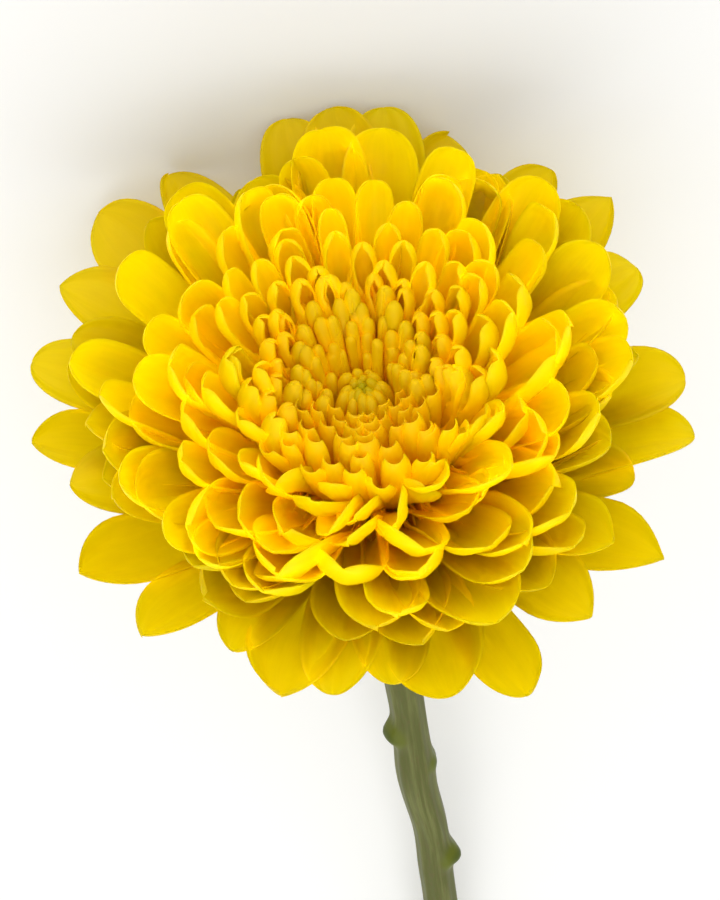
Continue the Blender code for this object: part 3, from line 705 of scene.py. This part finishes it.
def makeStemSkin():
    # a green cut stem: ribbed skin with a thin greyish bloom in streaks, brownish where it is turning woody, and
    # greener swellings where leaves were stripped
    material, tree = newMaterial("greenStemSkin")
    read = readings(tree, ("around", "alongMm", "scar"))
    place = addNode(tree, "ShaderNodeCombineXYZ", None, {
        axis: addNode(tree, "ShaderNodeMath", {"operation": "MULTIPLY", 1: stem[by]}, {0: read[name]}).outputs[0]
        for axis, by, name in (("X", "streaksRound", "around"), ("Y", "streaksPerMm", "alongMm"))})
    streaks = addNode(tree, "ShaderNodeTexNoise", {"Scale": 1.0, "Detail": 4.0, "Roughness": 0.6},
                      {"Vector": place.outputs[0]}).outputs["Fac"]
    flecks = addNode(tree, "ShaderNodeTexNoise", {"Scale": stem["flecks"], "Detail": 2.0}).outputs["Fac"]
    colour = layered(tree, stem["skin"], (
        (streaks, 0.42, 0.72, 0.8, stem["bloomy"]), (flecks, 0.50, 0.72, 0.5, stem["brownish"]),
        (read["scar"], 0.04, 0.4, 1.0, stem["scarGreen"]), (read["scar"], 0.5, 0.95, 0.7, stem["scarCore"])))
    bump = addNode(tree, "ShaderNodeBump", {"Strength": 0.5, "Distance": 0.0002}, {"Height": streaks}).outputs[0]
    shader = addNode(tree, "ShaderNodeBsdfPrincipled", {
        "Roughness": 0.5, "Specular IOR Level": 0.3, "Subsurface Weight": 0.08,
        "Subsurface Radius": (0.5, 1.0, 0.2), "Subsurface Scale": 0.001}, {"Base Color": colour, "Normal": bump})
    addNode(tree, "ShaderNodeOutputMaterial", None, {"Surface": shader.outputs[0]})
    return material


def makePith():
    # the cut end: damp pale pith inside a greener ring
    material, tree = newMaterial("cutStemPith")
    read = readings(tree, ("around",))
    colour = layered(tree, stem["pith"], ((read["around"], 0.55, 0.95, 1.0, stem["skin"]),))
    shader = addNode(tree, "ShaderNodeBsdfPrincipled", {"Roughness": 0.4, "Subsurface Weight": 0.1,
                     "Subsurface Scale": 0.001}, {"Base Color": colour})
    addNode(tree, "ShaderNodeOutputMaterial", None, {"Surface": shader.outputs[0]})
    return material


def makeStem():
    whole = 100.0
    while heightAboveFloor(stemCentre(whole)) - stem["radius"] > -stem["press"]:
        whole += 0.1
    sides, rings = stem["sides"], stem["rings"]
    up = Vector(layRows[2])
    vertices, around, alongMm, scarred = [], [], [], []
    for ring in range(rings + 1):
        length = whole * ring / rings
        centre = stemCentre(length)
        along = (stemCentre(length + 0.5) - stemCentre(max(length - 0.5, 0.0))).normalized()
        right = Vector((0, 1, 0)).cross(along).normalized()
        front = along.cross(right)
        radius = stem["radius"] + (stem["topRadius"] - stem["radius"]) * math.exp(-length / stem["taperMm"])
        radius = radius * (1 + waved("uneven", length)) + humped("thicker", length)
        for k in range(sides):
            angle = 2 * math.pi * k / sides
            out = math.cos(angle) * right + math.sin(angle) * front
            rib = stem["ribMm"] * math.cos(stem["ribs"] * angle + 0.3 * math.sin(length / 40))
            swell, scarShare = 0.0, 0.0
            for place, azimuth, rise, long in stem["scars"]:
                side = Vector((math.sin(math.radians(azimuth)), -math.cos(math.radians(azimuth)), 0.0))
                facing = max(0.0, out.dot(side))
                share = math.exp(-((length - place) / (long * stem["scarLong"])) ** 2) * facing ** 3
                swell += rise * stem["scarRise"] * share
                scarShare = max(scarShare, share)
            lift = out * (radius + rib - stem["ribMm"] + swell)
            slant = stem["endSlant"] * (lift.dot(up) + radius) if ring == rings else 0.0
            vertices.append(centre + lift - slant * along)
            around.append(k / sides)
            alongMm.append(length)
            scarred.append(scarShare)
    faces = []
    for ring in range(rings):
        for k in range(sides):
            a, b = ring * sides + k, ring * sides + (k + 1) % sides
            faces.append((a, b, b + sides, a + sides))
    # the cut end, in rings towards its middle
    capStart = len(faces)
    outer = last = rings * sides
    middle = sum((Vector(vertices[last + k]) for k in range(sides)), Vector()) / sides
    for share in (0.66, 0.33):
        start = len(vertices)
        for k in range(sides):
            vertices.append(middle + (Vector(vertices[last + k]) - middle) * share)
            around.append(share)
            alongMm.append(whole)
            scarred.append(0.0)
        for k in range(sides):
            faces.append((outer + k, outer + (k + 1) % sides, start + (k + 1) % sides, start + k))
        outer = start
    faces.append(tuple(outer + k for k in range(sides)))
    faces.append(tuple(range(sides - 1, -1, -1)))      # and the hidden end in the cup
    piece = meshObject("stemSkin", np.array([tuple(v) for v in vertices]), faces,
                       {"around": around, "alongMm": alongMm, "scar": scarred}, makeStemSkin())
    piece.data.materials.append(makePith())
    for polygon in piece.data.polygons:
        if polygon.index >= capStart:
            polygon.material_index = 1
            polygon.use_smooth = False
    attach(piece, "root")
    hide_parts("stem")
    print(f"stem: {whole:.0f} mm long")


# The floor and the light on it.
studio = {
    "floorColour": "#FCFCFA", "floorReach": 2, "worldStrength": 0.72, "worldColour": "#FFFFFF",
    "bounces": 16,       # with fewer, the folds between the florets go brown instead of golden
    # each light: direction in the camera's own axes, width in metres, watts, distance in metres; the backdrop
    # lamp stands over the stem's end and lights the floor rather than the face of the bloom
    "lights": {"key": ((-0.12, 0.28, 1.0), 0.5, 0.55, 0.8), "fill": ((0.1, -0.45, 1.0), 0.7, 0.6, 0.8),
               "backdrop": ((0.0, -1.0, 0.35), 0.9, 3.4, 0.9), "behind": ((0.0, 1.0, 0.5), 0.9, 2.2, 0.9)},
}


def makeCamera():
    right, up, towards = cameraAxes()
    pixel = view["bloomMm"] / view["bloomPixels"] * 0.001          # metres in the picture's plane through the eye
    eyePoint = Vector(toFloor(np.array([[0, 0, view["eyeHeight"]]]))[0])
    offset = (view["eyePixel"][0] - view["photoWidth"] / 2, view["photoHeight"] / 2 - view["eyePixel"][1])
    camera = bpy.data.cameras.new("camera")
    camera.sensor_fit = "AUTO"
    camera.sensor_width = 36
    camera.lens = 36 * view["distance"] / (view["photoHeight"] * pixel)
    holder = bpy.data.objects.new("camera", camera)
    bpy.context.scene.collection.objects.link(holder)
    place = eyePoint + towards * view["distance"] - right * offset[0] * pixel - up * offset[1] * pixel
    holder.matrix_world = Matrix.Translation(place) @ Matrix((right, up, towards)).transposed().to_4x4()
    bpy.context.scene.camera = holder
    return eyePoint


def makeStudio(target):
    axes = cameraAxes()
    for name, (direction, size, power, distance) in studio["lights"].items():
        lamp = bpy.data.lights.new(name, "AREA")
        lamp.size = size
        lamp.energy = power
        holder = bpy.data.objects.new(name, lamp)
        bpy.context.scene.collection.objects.link(holder)
        out = sum((axis * share for axis, share in zip(axes, direction)), Vector()).normalized()
        holder.location = target + out * distance
        holder.rotation_mode = "QUATERNION"
        holder.rotation_quaternion = out.to_track_quat("Z", "Y")
    world = bpy.data.worlds.new("softWhite")
    world.use_nodes = True
    background = world.node_tree.nodes["Background"]
    background.inputs[0].default_value = linear(studio["worldColour"])
    background.inputs[1].default_value = studio["worldStrength"]
    scene = bpy.context.scene
    scene.world = world
    scene.view_settings.view_transform = "Standard"
    scene.cycles.max_bounces = scene.cycles.diffuse_bounces = studio["bounces"]
    # painted board: matt and nearly white, so it only takes a soft shadow
    material, tree = newMaterial("paleFloor")
    shader = addNode(tree, "ShaderNodeBsdfPrincipled",
                     {"Base Color": linear(studio["floorColour"]), "Roughness": 0.9, "Specular IOR Level": 0.1})
    addNode(tree, "ShaderNodeOutputMaterial", None, {"Surface": shader.outputs[0]})
    reach = studio["floorReach"]
    mesh = bpy.data.meshes.new("floor")
    mesh.from_pydata([(-reach, -reach, 0), (reach, -reach, 0), (reach, reach, 0), (-reach, reach, 0)], [],
                     [(0, 1, 2, 3)])
    mesh.materials.append(material)
    floor = bpy.data.objects.new("floor", mesh)
    bpy.context.scene.collection.objects.link(floor)


makeStudio(makeCamera())
print("studio and camera set")
makeBloom()
print("bloom made")
makeInvolucre()
print("bracts made")
makeStem()
